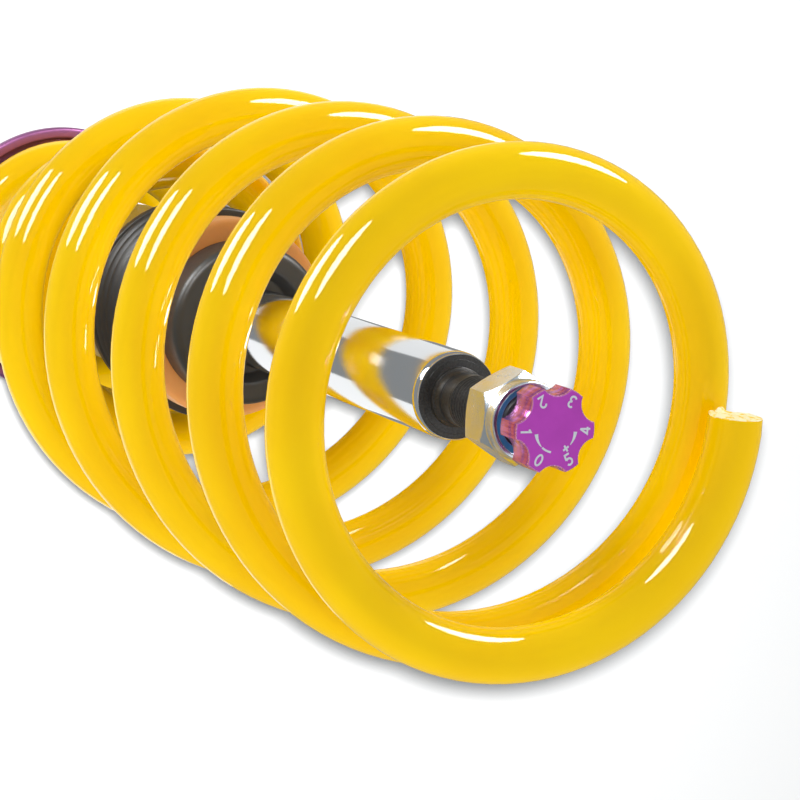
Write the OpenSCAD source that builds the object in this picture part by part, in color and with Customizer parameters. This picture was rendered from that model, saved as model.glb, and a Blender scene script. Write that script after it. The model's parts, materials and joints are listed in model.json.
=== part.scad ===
// Height-adjustable coilover strut: a twin-tube damper with a threaded body,
// a coil spring on a height-adjustable perch, and a rebound adjuster on top of the rod.
// Origin: the rod's shoulder, where the top mount seats. +Z runs up the rod towards the knob,
// +X points from the strut tube to the knuckle bolts, and +X also meets the spring's top end.

/* [Rod] */
// Diameter of the chromed piston rod
rod_d = 20; // [18:0.5:22]
// Diameter of the low collar on the rod's shoulder, which centres the top mount
pilot_d = 13.4; // [13:0.1:16]
// Height of the collar
pilot_h = 1.2; // [0.8:0.1:2]
// Major diameter of the stud's thread
stud_d = 12; // [10:1:12]
// Top of the stud above the rod's shoulder
stud_top = 33; // [30:0.1:34]
// Height of the locknut's lower face above the rod's shoulder
nut_z = 22; // [16:0.5:22]
// Stroke of the rod, from full extension to the bump stop
stroke = 105; // [60:5:105]

/* [Adjuster knob] */
// Radius at the tips of the knob's lobes
knob_r = 9.3; // [8.5:0.1:11]
// Thickness of the knob
knob_h = 7.2; // [5:0.1:9]
// Height of the knob's lower face above the rod's shoulder
knob_z = 38.65; // [38:0.05:40]
// Number of lobes, one for each dial number
knob_lobes = 6; // [5:1:8]

/* [Spring] */
// Diameter of the spring's wire
wire_d = 12.3; // [10:0.1:12.5]
// Coil radius of the closed end coil that rests on the perch
end_coil_r = 30; // [29.6:0.1:31]

/* [Housing] */
// Outer diameter of the strut tube, at its thread's crest
tube_d = 45; // [44:0.5:46]
// Inner diameter of the strut tube
tube_bore = 38.5; // [38:0.5:39]
// Top end of the strut tube
tube_top = -143; // [-145:1:-143]
// Bottom end of the strut tube
tube_bottom = -425; // [-430:1:-425]
// Upper end of the outside thread
thread_top = -208; // [-215:1:-208]
// Lower end of the outside thread
thread_bottom = -345; // [-345:1:-335]
// Pitch of the outside thread
thread_pitch = 2.5; // [2:0.5:3]
// Depth of the outside thread
thread_depth = 1.1; // [0.8:0.1:1.2]

/* [Perch] */
// Height of the face that the spring's pad rests on
perch_z = -268; // [-275:1:-262]
// Outer radius of the perch's flange
perch_r = 39.5; // [38:0.1:42]
// Running clearance of the perch, collar and ring over the thread's crest
collar_gap = 0.1; // [0.1:0.05:0.2]
// Gap between the faces of parts that turn or slide on each other
face_gap = 0.3; // [0.2:0.1:0.4]

/* [Knuckle bracket] */
// Distance from the strut's axis to the knuckle bolts
bolt_x = 57; // [50:1:60]
// Height of the upper knuckle bolt
bolt_z = -366; // [-368:1:-364]
// Distance between the two knuckle bolts
bolt_pitch = 52; // [48:1:54]
// Diameter of the bolt holes
bolt_hole_d = 12.2; // [10.2:0.1:14.2]
// Width of the slot that takes the knuckle
knuckle_gap = 34; // [30:1:36]
// Thickness of the bracket's plate
plate_t = 4; // [3:0.5:5]

/* [Hidden] */
$fn = 96;

rod_r = rod_d / 2;
tube_r = tube_d / 2;
bore_r = tube_bore / 2;
rod_run = 0.05;              // radial running clearance on the rod
rod_bore_r = 3.5;            // bore of the rod, for the adjuster
rod_end = -246;              // lower end of the rod
journal_z = -215;            // shoulder that the piston stack bears on
journal_r = 6;
piston_r = 16;               // inner radius of the pressure tube
pressure_wall = 1.25;
guide_top = tube_top - 14;   // top of the rod guide, under the seal
guide_bottom = tube_top - 29;
valve_z = journal_z - 85 - stroke;   // lower end of the pressure tube, on the base valve
valve_top = valve_z + 5;     // upper face of the base valve
rivet_r = 2.5;
seal_h = 6;
nut_h = 12;                  // height of the locknut
nut_af = 18;                 // across the locknut's flats
nut_phase = 87.8;            // turn of the locknut's corners about the rod
insert_h = 3.2;              // height of the locknut's nylon insert
insert_r = stud_d / 2 + 1.9;
shaft_r = 2.5;
detent_z = stud_top - 7;     // height of the adjuster's click balls
needle_top = -62;
collar_bore_r = tube_r + collar_gap;
perch_t = 5;                 // thickness of the perch's flange
hub_z = perch_z - 12;        // lower end of the perch's hub
collar_top = hub_z - face_gap;
collar_h = 12;
ring_top = collar_top - collar_h - face_gap;
ring_h = 8;
pad_t = 1.5;                 // thickness of the spring's pad
end_coil_z = perch_z + pad_t + wire_d / 2;
bracket_top = -352;
bracket_bottom = -434;
ear_x = bolt_x + 17;         // free edge of the bracket's ears

// The spring's centre line. Each row holds turns from the top end, height and coil radius.
coil = [
    [0, 31, 52.8], [0.5, 27.2, 50.9], [0.85, 20.4, 52.6], [1.2, 6.3, 53.7],
    [1.5, -8.3, 54.2], [2.5, -55, 54.5], [3.5, -102.2, 54.6], [4, -127, 54.4],
    [4.25, -140.5, 52.9], [4.5, -154, 50.3], [4.75, -165, 48.8], [4.95, -171.5, 46],
    [5.16, -175.5, 39.4], [5.4, -177.5, 36], [5.7, -178.6, 35.3], [5.85, -180.5, 36.8],
    [6.6, -215, 33.5], [7.1, -239, 31.6], [7.5, end_coil_z + 2.75, end_coil_r + 0.2],
    [7.8, end_coil_z + 0.45, end_coil_r], [8.15, end_coil_z, end_coil_r]
];
coil_turns = coil[len(coil) - 1][0];
rings_per_turn = 36;
wire_sides = 12;

// ---------- helpers ----------

// A ring or disc between two heights
module ring(r_out, r_in, z_low, z_high) {
    translate([0, 0, z_low])
        difference() {
            cylinder(r = r_out, h = z_high - z_low);
            if (r_in > 0)
                translate([0, 0, -1]) cylinder(r = r_in, h = z_high - z_low + 2);
        }
}

// A solid of revolution about the strut's axis, from an outline of [radius, height] points
module turned(outline) {
    rotate_extrude() polygon(outline);
}

// Several copies of the children around the strut's axis
module around(count, start = 0) {
    for (i = [0 : count - 1])
        rotate([0, 0, start + i * 360 / count]) children();
}

// A corner rounded by an arc, as points from angle a to angle b
function arc(cx, cy, r, a, b, steps = 6) =
    [for (i = [0 : steps]) [cx + r * cos(a + (b - a) * i / steps), cy + r * sin(a + (b - a) * i / steps)]];

// Slope of the spring's centre line at knot k, for column c
function rise(k, c) = (coil[k + 1][c] - coil[k][c]) / (coil[k + 1][0] - coil[k][0]);
function span(k) = coil[k + 1][0] - coil[k][0];
function slope(k, c) =
    k == 0 ? rise(0, c)
    : k == len(coil) - 1 ? rise(k - 1, c)
    : (rise(k - 1, c) * span(k) + rise(k, c) * span(k - 1)) / (span(k - 1) + span(k));
function knot(t, k = 0) = k >= len(coil) - 2 || t < coil[k + 1][0] ? k : knot(t, k + 1);
function smooth(t, k, c, s) =
    (2 * s ^ 3 - 3 * s ^ 2 + 1) * coil[k][c] + (s ^ 3 - 2 * s ^ 2 + s) * span(k) * slope(k, c)
    + (3 * s ^ 2 - 2 * s ^ 3) * coil[k + 1][c] + (s ^ 3 - s ^ 2) * span(k) * slope(k + 1, c);
function coil_at(t, c) = let (k = knot(t)) smooth(t, k, c, (t - coil[k][0]) / span(k));
function centre(t) =
    [coil_at(t, 2) * cos(360 * t), -coil_at(t, 2) * sin(360 * t), coil_at(t, 1)];

// ---------- strut housing ----------

// One ridge of the trapezoid thread, as the outline points from its upper root to its lower root
function ridge(z) = [
    [tube_r - thread_depth, z], [tube_r, z - thread_pitch * 0.2],
    [tube_r, z - thread_pitch * 0.5], [tube_r - thread_depth, z - thread_pitch * 0.7]
];

module strut_tube() {
    ridges = floor((thread_top - thread_bottom) / thread_pitch);
    color([0.62, 0.63, 0.65])
        turned(concat(
            [[bore_r, tube_top], [tube_r - 0.5, tube_top], [tube_r, tube_top - 0.5], [tube_r, thread_top]],
            [for (i = [0 : ridges - 1], p = ridge(thread_top - i * thread_pitch)) p],
            [[tube_r, thread_bottom - 0.5], [tube_r, tube_bottom], [bore_r, tube_bottom]]
        ));
}

module base_cap() {
    color([0.5, 0.5, 0.52])
        turned(concat(
            [[0, tube_bottom + 7], [bore_r, tube_bottom + 7], [bore_r, tube_bottom]],
            [[bore_r - 4, tube_bottom - 3], [0, tube_bottom - 3]]
        ));
}

// The bracket's outline seen along the tube: a wrap around the tube and two ears
module bracket_outline() {
    difference() {
        union() {
            circle(r = tube_r + plate_t);
            translate([0, -knuckle_gap / 2 - plate_t]) square([ear_x, knuckle_gap + 2 * plate_t]);
        }
        circle(r = tube_r);
        translate([0, -knuckle_gap / 2]) square([ear_x + 1, knuckle_gap]);
    }
}

// The bracket's outline seen from the side, with chamfered ears
module bracket_side() {
    chamfer = 14;
    back = tube_r + plate_t + 1;
    polygon([
        [-back, bracket_bottom + 12], [-back, bracket_top - 6], [-6, bracket_top],
        [ear_x - chamfer, bracket_top], [ear_x, bracket_top - chamfer],
        [ear_x, bracket_bottom + chamfer], [ear_x - chamfer, bracket_bottom], [20, bracket_bottom]
    ]);
}

module knuckle_bracket() {
    width = knuckle_gap + 2 * plate_t + 20;
    color([0.3, 0.3, 0.32])
        difference() {
            intersection() {
                translate([0, 0, bracket_bottom - 1])
                    linear_extrude(bracket_top - bracket_bottom + 2) bracket_outline();
                rotate([90, 0, 0])
                    translate([0, 0, -width / 2]) linear_extrude(width) bracket_side();
            }
            for (i = [0, 1])
                translate([bolt_x, width / 2, bolt_z - i * bolt_pitch])
                    rotate([90, 0, 0]) cylinder(d = bolt_hole_d, h = width);
        }
}

module hose_bracket() {
    tab_w = 16;
    tab_end = 58;
    tab_z = bracket_top - 22;
    tab_t = 3;
    hose_r = 5.2;
    color([0.3, 0.3, 0.32])
        translate([0, 0, tab_z])
            difference() {
                union() {
                    translate([-tab_w, 0, 0]) cube([tab_w, tab_end - tab_w / 2, tab_t]);
                    translate([-tab_w / 2, tab_end - tab_w / 2, 0]) cylinder(d = tab_w, h = tab_t);
                    translate([-tab_w, 0, -10]) cube([tab_t, tube_r + plate_t + 8, 10 + tab_t]);
                }
                translate([0, 0, -20]) cylinder(r = tube_r + plate_t, h = 40);
                translate([-tab_w / 2, tab_end - tab_w / 2, -1]) cylinder(r = hose_r, h = tab_t + 2);
                translate([-tab_w / 2, tab_end - tab_w / 2 - hose_r * 0.7, -1])
                    cube([tab_w, hose_r * 1.4, tab_t + 2]);
            }
}

// ---------- inside the housing ----------

module pressure_tube() {
    color([0.72, 0.73, 0.75])
        ring(piston_r + pressure_wall, piston_r, valve_z, guide_bottom + 7);
}

module base_valve_body() {
    color([0.6, 0.58, 0.52])
        difference() {
            union() {
                ring(piston_r, 0, valve_z, valve_top);
                ring(piston_r + pressure_wall, 0, valve_z - 6, valve_z);
                ring(piston_r + pressure_wall, 12, tube_bottom + 7, valve_z - 6);
            }
            translate([0, 0, valve_z - 7]) cylinder(r = rivet_r, h = 13);
            around(6) translate([9, 0, valve_z - 7]) cylinder(r = 1.6, h = 13);
            around(4, 45) translate([10, -3, tube_bottom + 6]) cube([12, 6, 4]);
        }
}

module base_valve_discs() {
    color([0.75, 0.76, 0.78]) {
        for (i = [0 : 2])
            ring(11 - 1.5 * i, rivet_r, valve_top + i * 0.5, valve_top + i * 0.5 + 0.4);
        ring(7, rivet_r, valve_z - 6.6, valve_z - 6);
    }
}

module base_valve_rivet() {
    color([0.55, 0.55, 0.57])
        turned([
            [0, valve_top + 3.5], [4, valve_top + 3.5], [5, valve_top + 2.4], [5, valve_top + 1.4],
            [rivet_r, valve_top + 1.4], [rivet_r, valve_z - 6.6], [5, valve_z - 6.6],
            [5, valve_z - 8], [4, valve_z - 9], [0, valve_z - 9]
        ]);
}

module rod_guide() {
    color([0.68, 0.69, 0.7])
        difference() {
            union() {
                ring(bore_r, rod_r + 1.2, guide_bottom + 7, guide_top);
                ring(piston_r, rod_r + 1.2, guide_bottom, guide_bottom + 7);
            }
            ring(bore_r + 1, bore_r - 1.6, guide_bottom + 11, guide_bottom + 13.4);
            around(3) translate([(bore_r + piston_r + pressure_wall) / 2 + 0.2, 0, guide_bottom])
                cylinder(r = 0.9, h = 10);
        }
}

module guide_bush() {
    color([0.45, 0.42, 0.36])
        ring(rod_r + 1.2, rod_r + rod_run, guide_bottom, guide_top);
}

module guide_o_ring() {
    color([0.08, 0.08, 0.08])
        rotate_extrude() translate([bore_r - 0.8, guide_bottom + 12.2]) circle(r = 0.8, $fn = 32);
}

module rod_seal() {
    color([0.1, 0.1, 0.1])
        turned([[rod_r + rod_run, guide_top], [bore_r, guide_top], [bore_r, guide_top + seal_h],
                [bore_r - 3, guide_top + seal_h], [rod_r + 3, guide_top + 3],
                [rod_r + rod_run, guide_top + 4.5]]);
}

module closing_nut() {
    rod_gap = 4;
    color([0.35, 0.35, 0.37])
        difference() {
            union() {
                ring(bore_r, rod_r + rod_gap, guide_top + seal_h, tube_top);
                ring(tube_r, rod_r + rod_gap, tube_top, tube_top + 3);
            }
            around(6) translate([tube_r - 4, 0, tube_top + 1]) cylinder(r = 1.5, h = 4);
        }
}

module wiper_ring() {
    color([0.12, 0.12, 0.12])
        turned([[rod_r + rod_run, tube_top - 5], [rod_r + 4, tube_top - 5], [rod_r + 4, tube_top + 2],
                [rod_r + 2.5, tube_top + 2], [rod_r + rod_run, tube_top + 0.5]]);
}

module dust_boot() {
    boot_top = tube_top + 2;
    boot_bottom = -164;
    crest = 27.8;
    root = 25.6;
    rib_pitch = 4.2;
    rim_h = 3;
    ribs = floor((boot_top - rim_h - boot_bottom - rim_h) / rib_pitch);
    color([0.15, 0.15, 0.15])
        turned(concat(
            [[tube_r, boot_bottom], [crest - 0.8, boot_bottom], [crest, boot_bottom + 0.8],
             [crest, boot_bottom + rim_h]],
            [for (i = [0 : ribs - 1], p = [[root, 0.25], [root, 0.4], [crest, 0.65], [crest, 1]])
                [p[0], boot_bottom + rim_h + (i + p[1]) * rib_pitch]],
            [[crest, boot_top - 1], [crest - 1, boot_top], [tube_r, boot_top]]
        ));
}

module boot_ring() {
    low = tube_top + 3;
    high = -130;
    color([0.8, 0.51, 0.24])
        turned(concat(
            [[18, low], [25.4, low], [26, low + 0.6]],
            arc(26 - 1.6, high - 1.6, 1.6, 0, 90),
            [[18, high]]
        ));
}

module bump_stop() {
    top = -118;
    seat = -130;
    bore = rod_r + 0.3;
    dome_r = 20.8;
    shoulder_r = 4.6;
    color([0.2, 0.2, 0.2])
        turned(concat(
            [[bore, tube_top + 3], [18, tube_top + 3], [18, seat], [dome_r - 0.2, seat], [dome_r, seat + 1]],
            arc(dome_r - shoulder_r, top - shoulder_r, shoulder_r, 5, 90, 8),
            [[16, top], [14.5, top - 0.8], [13, top - 4.5], [bore, top - 5]]
        ));
}

// ---------- piston rod ----------

module piston_rod() {
    tip_bore = 1.6;
    seat_z = rod_end + 8;
    neck_r = stud_d / 2 - 0.3;
    color([0.82, 0.83, 0.85])
        difference() {
            turned([
                [0, stud_top], [stud_d / 2 - 1, stud_top], [stud_d / 2, stud_top - 1],
                [stud_d / 2, pilot_h + 3.4], [neck_r, pilot_h + 3], [neck_r, pilot_h + 1.8],
                [pilot_d / 2, pilot_h], [pilot_d / 2, 0],
                [rod_r - 0.26, 0], [rod_r, -2], [rod_r, journal_z + 0.6], [rod_r - 0.6, journal_z],
                [journal_r, journal_z], [journal_r, rod_end + 0.8], [journal_r - 0.8, rod_end], [0, rod_end]
            ]);
            translate([0, 0, seat_z]) cylinder(r = rod_bore_r, h = stud_top - seat_z + 1);
            translate([0, 0, rod_end - 1]) cylinder(r = tip_bore, h = 10);
            for (a = [0, 90])
                rotate([0, 0, a]) translate([0, 0, journal_z + 5])
                    rotate([90, 0, 0]) translate([0, 0, -rod_r - 1]) cylinder(r = 1.5, h = 2 * rod_r + 2);
        }
}

module rebound_bumper() {
    high = guide_bottom - face_gap;
    color([0.12, 0.12, 0.12])
        turned([[rod_r, high - 12], [13.5, high - 12], [14, high - 6], [13, high - 1], [12, high],
                [rod_r, high]]);
}

module rebound_stop() {
    high = guide_bottom - face_gap - 12;
    color([0.6, 0.6, 0.62]) ring(14, rod_r, high - 4, high);
}

module piston() {
    high = journal_z - 2;
    low = high - 15;
    color([0.62, 0.6, 0.55])
        difference() {
            ring(piston_r - 0.3, journal_r, low, high);
            ring(piston_r + 1, piston_r - 1.2, low + 3, high - 3);
            around(6) translate([10.5, 0, low - 1]) cylinder(r = 1.5, h = 17);
        }
}

module piston_band() {
    color([0.25, 0.2, 0.16]) ring(piston_r - rod_run, piston_r - 1.2, journal_z - 14, journal_z - 5);
}

// A stack of thin valve discs of falling size, from height z in direction dir
module discs(z, dir, sizes) {
    for (i = [0 : len(sizes) - 1])
        let (a = z + dir * i * 0.6, b = a + dir * 0.5)
            ring(sizes[i], journal_r, min(a, b), max(a, b));
}

module compression_discs() {
    color([0.75, 0.76, 0.78]) discs(journal_z - 2, 1, [13, 11.5, 10]);
}

module rebound_discs() {
    color([0.75, 0.76, 0.78]) discs(journal_z - 17, -1, [13, 12, 10.5, 9]);
}

module piston_nut() {
    color([0.55, 0.55, 0.57])
        translate([0, 0, journal_z - 27.5])
            difference() {
                cylinder(r = 11, h = 8, $fn = 6);
                translate([0, 0, -1]) cylinder(r = journal_r, h = 10);
            }
}

// ---------- top of the rod ----------

module locknut() {
    crown_r = nut_af / 2 - 0.3;
    lip_r = insert_r - 0.4;
    color([0.78, 0.77, 0.72])
        difference() {
            intersection() {
                translate([0, 0, nut_z]) rotate([0, 0, nut_phase])
                    cylinder(r = nut_af / 2 / cos(30), h = nut_h, $fn = 6);
                turned([
                    [0, nut_z], [nut_af / 2 - 0.2, nut_z], [nut_af / 2 + 1.6, nut_z + 1],
                    [nut_af / 2 + 1.6, nut_z + nut_h - 4.6], [crown_r, nut_z + nut_h - 2.8],
                    [crown_r, nut_z + nut_h - 0.5], [crown_r - 0.5, nut_z + nut_h], [0, nut_z + nut_h]
                ]);
            }
            translate([0, 0, nut_z - 1]) cylinder(r = stud_d / 2, h = nut_h + 2);
            translate([0, 0, nut_z + nut_h - 0.6 - insert_h]) cylinder(r = insert_r, h = insert_h);
            translate([0, 0, nut_z + nut_h - 0.7]) cylinder(r = lip_r, h = 2);
        }
}

module nylon_insert() {
    high = nut_z + nut_h - 0.6;
    color([0.1, 0.3, 0.45]) ring(insert_r, stud_d / 2, high - insert_h, high);
}

module detent_sleeve() {
    color([0.7, 0.6, 0.35])
        difference() {
            ring(rod_bore_r, shaft_r + rod_run, stud_top - 12, stud_top);
            around(knob_lobes, 30) translate([shaft_r + 0.4, 0, detent_z]) sphere(r = 0.75);
        }
}

module adjuster_knob() {
    notch_r = 4.1;
    notch_depth = 1.9;
    color([0.65, 0.24, 0.65])
        translate([0, 0, knob_z])
            difference() {
                intersection() {
                    cylinder(r = knob_r, h = knob_h);
                    turned([[0, 0], [knob_r - 0.3, 0], [knob_r, 0.3], [knob_r, knob_h - 0.35],
                            [knob_r - 0.35, knob_h], [0, knob_h]]);
                }
                around(knob_lobes, 180 / knob_lobes)
                    translate([knob_r - notch_depth + notch_r, 0, -1]) cylinder(r = notch_r, h = knob_h + 2);
                translate([0, 0, -1]) cylinder(r = shaft_r, h = 6);
                rotate([0, 0, 180 / knob_lobes]) translate([0, 0, 2.6])
                    rotate([0, 90, 0]) cylinder(r = 1.25, h = knob_r);
            }
}

module knob_screw() {
    color([0.15, 0.15, 0.16])
        rotate([0, 0, 180 / knob_lobes]) translate([shaft_r, 0, knob_z + 2.6])
            rotate([0, 90, 0])
                difference() {
                    cylinder(r = 1.25, h = 4.2);
                    translate([0, 0, 2.6]) cylinder(r = 0.7, h = 3, $fn = 6);
                }
}

module adjuster_shaft() {
    socket_r = 1.9;
    groove_r = shaft_r - 1;
    color([0.75, 0.75, 0.77])
        turned([
            [0, needle_top + 12], [socket_r, needle_top + 12], [socket_r, needle_top + 1],
            [shaft_r, needle_top + 1], [shaft_r, detent_z - 0.6], [groove_r, detent_z - 0.6],
            [groove_r, detent_z + 0.6], [shaft_r, detent_z + 0.6], [shaft_r, knob_z + 5], [0, knob_z + 5]
        ]);
}

module detent_balls() {
    color([0.8, 0.8, 0.82])
        for (a = [30, 210])
            rotate([0, 0, a]) translate([shaft_r - 0.45, 0, detent_z]) sphere(r = 0.48);
}

module needle() {
    tongue_r = 1.6;
    tip_z = rod_end + 9.5;
    color([0.8, 0.72, 0.45])
        turned([
            [0, needle_top + 10], [tongue_r, needle_top + 10], [tongue_r, needle_top],
            [rod_bore_r - rod_run, needle_top], [rod_bore_r - rod_run, needle_top - 20],
            [2.2, needle_top - 21], [2.2, tip_z + 8], [1.2, tip_z], [0, tip_z]
        ]);
}

// ---------- spring and perch ----------

// Points around the wire at turn t: out holds the coil's outward direction
function wire_ring(t) =
    let (
        step = 0.002,
        c = centre(t),
        ahead = centre(min(t + step, coil_turns)) - centre(max(t - step, 0)),
        along = ahead / norm(ahead),
        out0 = [cos(360 * t), -sin(360 * t), 0],
        out1 = out0 - along * (out0 * along),
        out = out1 / norm(out1),
        up = cross(along, out)
    )
    [for (s = [0 : wire_sides - 1])
        let (a = 360 * (s + 0.5) / wire_sides) c + wire_d / 2 * (cos(a) * out + sin(a) * up)];

module spring() {
    rings = round(coil_turns * rings_per_turn);
    n = wire_sides;
    points = [for (i = [0 : rings], p = wire_ring(i * coil_turns / rings)) p];
    sides = [for (i = [0 : rings - 1], s = [0 : n - 1])
        [i * n + s, i * n + (s + 1) % n, (i + 1) * n + (s + 1) % n, (i + 1) * n + s]];
    first = [for (s = [0 : n - 1]) n - 1 - s];
    last = [for (s = [0 : n - 1]) rings * n + s];
    color([1, 0.82, 0]) polyhedron(points = points, faces = concat(sides, [first], [last]), convexity = 12);
}

module spring_pad() {
    color([0.16, 0.16, 0.17]) ring(35.6, 24, perch_z, perch_z + pad_t);
}

module spring_perch() {
    rim_in = 36.2;
    rim_h = 3;
    hub_r = 30;
    color([0.5, 0.27, 0.37])
        turned(concat(
            [[collar_bore_r, hub_z], [hub_r - 1, hub_z], [hub_r, hub_z + 1], [hub_r, perch_z - perch_t],
             [hub_r + 3, perch_z - perch_t], [perch_r, perch_z]],
            arc(perch_r - 1.2, perch_z + rim_h - 1.2, 1.2, 0, 90, 4),
            [[rim_in + 0.6, perch_z + rim_h], [rim_in, perch_z + rim_h - 0.6], [rim_in, perch_z],
             [collar_bore_r, perch_z]]
        ));
}

// A ring nut with spanner slots around its edge
module slotted_nut(r_out, z_low, height, slots) {
    slot_w = 7;
    slot_d = 3;
    edge = 1;
    difference() {
        turned([[collar_bore_r, z_low], [r_out - edge, z_low], [r_out, z_low + edge],
                [r_out, z_low + height - edge], [r_out - edge, z_low + height],
                [collar_bore_r, z_low + height]]);
        around(slots)
            translate([r_out - slot_d, -slot_w / 2, z_low - 1]) cube([slot_d + 1, slot_w, height + 2]);
    }
}

module adjuster_collar() {
    color([0.5, 0.27, 0.37])
        difference() {
            slotted_nut(33, collar_top - collar_h, collar_h, 8);
            rotate([0, 0, 22.5]) translate([collar_bore_r - 1, 0, collar_top - collar_h / 2])
                rotate([0, 90, 0]) cylinder(r = 2.5, h = 20);
        }
}

module collar_screw() {
    color([0.15, 0.15, 0.16])
        rotate([0, 0, 22.5]) translate([collar_bore_r, 0, collar_top - collar_h / 2])
            rotate([0, 90, 0])
                difference() {
                    cylinder(r = 2.5, h = 9);
                    translate([0, 0, 6]) cylinder(r = 1.45, h = 4, $fn = 6);
                }
}

module lock_ring() {
    color([0.5, 0.27, 0.37]) slotted_nut(32, ring_top - ring_h, ring_h, 8);
}

strut_tube();
base_cap();
knuckle_bracket();
hose_bracket();
pressure_tube();
base_valve_body();
base_valve_discs();
base_valve_rivet();
rod_guide();
guide_bush();
guide_o_ring();
rod_seal();
closing_nut();
wiper_ring();
dust_boot();
boot_ring();
bump_stop();
piston_rod();
rebound_bumper();
rebound_stop();
piston();
piston_band();
compression_discs();
rebound_discs();
piston_nut();
locknut();
nylon_insert();
detent_sleeve();
adjuster_knob();
knob_screw();
adjuster_shaft();
detent_balls();
needle();
spring();
spring_pad();
spring_perch();
adjuster_collar();
collar_screw();
lock_ring();
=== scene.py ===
"""The coilover's looks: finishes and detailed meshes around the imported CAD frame.

The scene is in metres. Outlines, radii and heights are in millimetres until MM turns them into metres.
"""
import json
import math

import bmesh
import bpy
from mathutils import Matrix, Vector, noise


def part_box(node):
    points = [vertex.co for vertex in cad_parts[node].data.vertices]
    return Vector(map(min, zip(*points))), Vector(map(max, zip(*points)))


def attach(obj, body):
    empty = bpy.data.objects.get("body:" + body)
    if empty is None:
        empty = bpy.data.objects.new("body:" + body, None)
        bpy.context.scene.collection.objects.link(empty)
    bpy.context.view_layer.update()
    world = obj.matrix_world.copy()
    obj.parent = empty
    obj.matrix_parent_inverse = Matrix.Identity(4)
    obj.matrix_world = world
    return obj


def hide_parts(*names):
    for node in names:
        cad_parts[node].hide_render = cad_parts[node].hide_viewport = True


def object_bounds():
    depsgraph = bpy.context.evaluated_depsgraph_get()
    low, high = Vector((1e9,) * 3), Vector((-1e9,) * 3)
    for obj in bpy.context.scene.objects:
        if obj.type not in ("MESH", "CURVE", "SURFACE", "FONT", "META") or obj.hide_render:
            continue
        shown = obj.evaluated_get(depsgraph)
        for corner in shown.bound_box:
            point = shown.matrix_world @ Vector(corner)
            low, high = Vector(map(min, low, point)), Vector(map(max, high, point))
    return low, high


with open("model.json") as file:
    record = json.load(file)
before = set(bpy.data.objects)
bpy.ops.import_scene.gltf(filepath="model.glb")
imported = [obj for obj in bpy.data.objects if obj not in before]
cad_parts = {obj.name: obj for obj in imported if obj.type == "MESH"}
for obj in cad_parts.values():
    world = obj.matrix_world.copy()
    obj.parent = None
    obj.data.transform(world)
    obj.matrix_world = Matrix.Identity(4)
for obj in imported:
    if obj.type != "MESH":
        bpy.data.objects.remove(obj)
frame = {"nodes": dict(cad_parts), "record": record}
CAD_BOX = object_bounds()
MM = 0.001
TAU = 2 * math.pi

# ---------------------------------------------------------------- places, from the frame

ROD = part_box("piston_rod")
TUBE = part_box("strut_tube")
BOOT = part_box("dust_boot")
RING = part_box("boot_ring")
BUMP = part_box("bump_stop")
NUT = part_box("locknut")
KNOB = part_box("adjuster_knob")
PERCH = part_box("spring_perch")
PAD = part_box("spring_pad")


def radius_of(box):
    """Outer radius of a round piece about the strut's axis."""
    return box[1].x


# ---------------------------------------------------------------- mesh helpers

def new_piece(name, mesh, body, material, replaces=()):
    """Links a finished mesh as a piece that rides on a body."""
    piece = bpy.data.objects.new(name, mesh)
    bpy.context.scene.collection.objects.link(piece)
    for m in material if isinstance(material, (list, tuple)) else [material]:
        mesh.materials.append(m)
    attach(piece, body)
    if replaces:
        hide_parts(*replaces)
    return piece


def smooth(mesh, sharp_degrees=35):
    """Smooth shading, with edges sharper than the angle kept crisp."""
    mesh.shade_smooth()
    mesh.set_sharp_from_angle(angle=math.radians(sharp_degrees))
    return mesh


def skin(name, rings, closed=False, sharp_degrees=35, slots=None):
    """A mesh through rings of points, with a cap on each end unless the rings close on themselves.

    slots gives a material index for each row of faces.
    """
    mesh = bpy.data.meshes.new(name)
    n = len(rings[0])
    points = [p for ring in rings for p in ring]
    faces, marks = [], []
    rows = len(rings) if closed else len(rings) - 1
    for i in range(rows):
        a, b = i * n, (i + 1) % len(rings) * n
        for s in range(n):
            t = (s + 1) % n
            faces.append((a + s, a + t, b + t, b + s))
            marks.append(slots[i] if slots else 0)
    if not closed:
        faces.append(tuple(range(n - 1, -1, -1)))
        faces.append(tuple((len(rings) - 1) * n + s for s in range(n)))
        marks += [slots[0] if slots else 0, slots[-1] if slots else 0]
    mesh.from_pydata([tuple(p) for p in points], [], faces)
    mesh.polygons.foreach_set("material_index", marks)
    mesh.validate()
    return smooth(mesh, sharp_degrees)


def fillet(points, steps=5):
    """An outline with rounded corners. Each point is (radius, height) or (radius, height, rounding)."""
    out = []
    for i, p in enumerate(points):
        here = Vector(p[:2])
        size = p[2] if len(p) > 2 else 0
        if not size:
            out.append(here)
            continue
        before = Vector(points[i - 1][:2]) - here
        after = Vector(points[(i + 1) % len(points)][:2]) - here
        half = before.angle(after) / 2
        reach = min(size / math.tan(half), before.length * 0.49, after.length * 0.49)
        start, end = here + before.normalized() * reach, here + after.normalized() * reach
        for k in range(steps + 1):
            s = k / steps
            out.append(start * (1 - s) ** 2 + here * 2 * s * (1 - s) + end * s ** 2)
    return out


def circle(r, z, segments):
    """Points in metres on a circle about the strut's axis, from a radius and a height in millimetres."""
    angles = [TAU * k / segments for k in range(segments)]
    return [(r * MM * math.cos(a), r * MM * math.sin(a), z * MM) for a in angles]


# ---------------------------------------------------------------- material helpers

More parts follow.
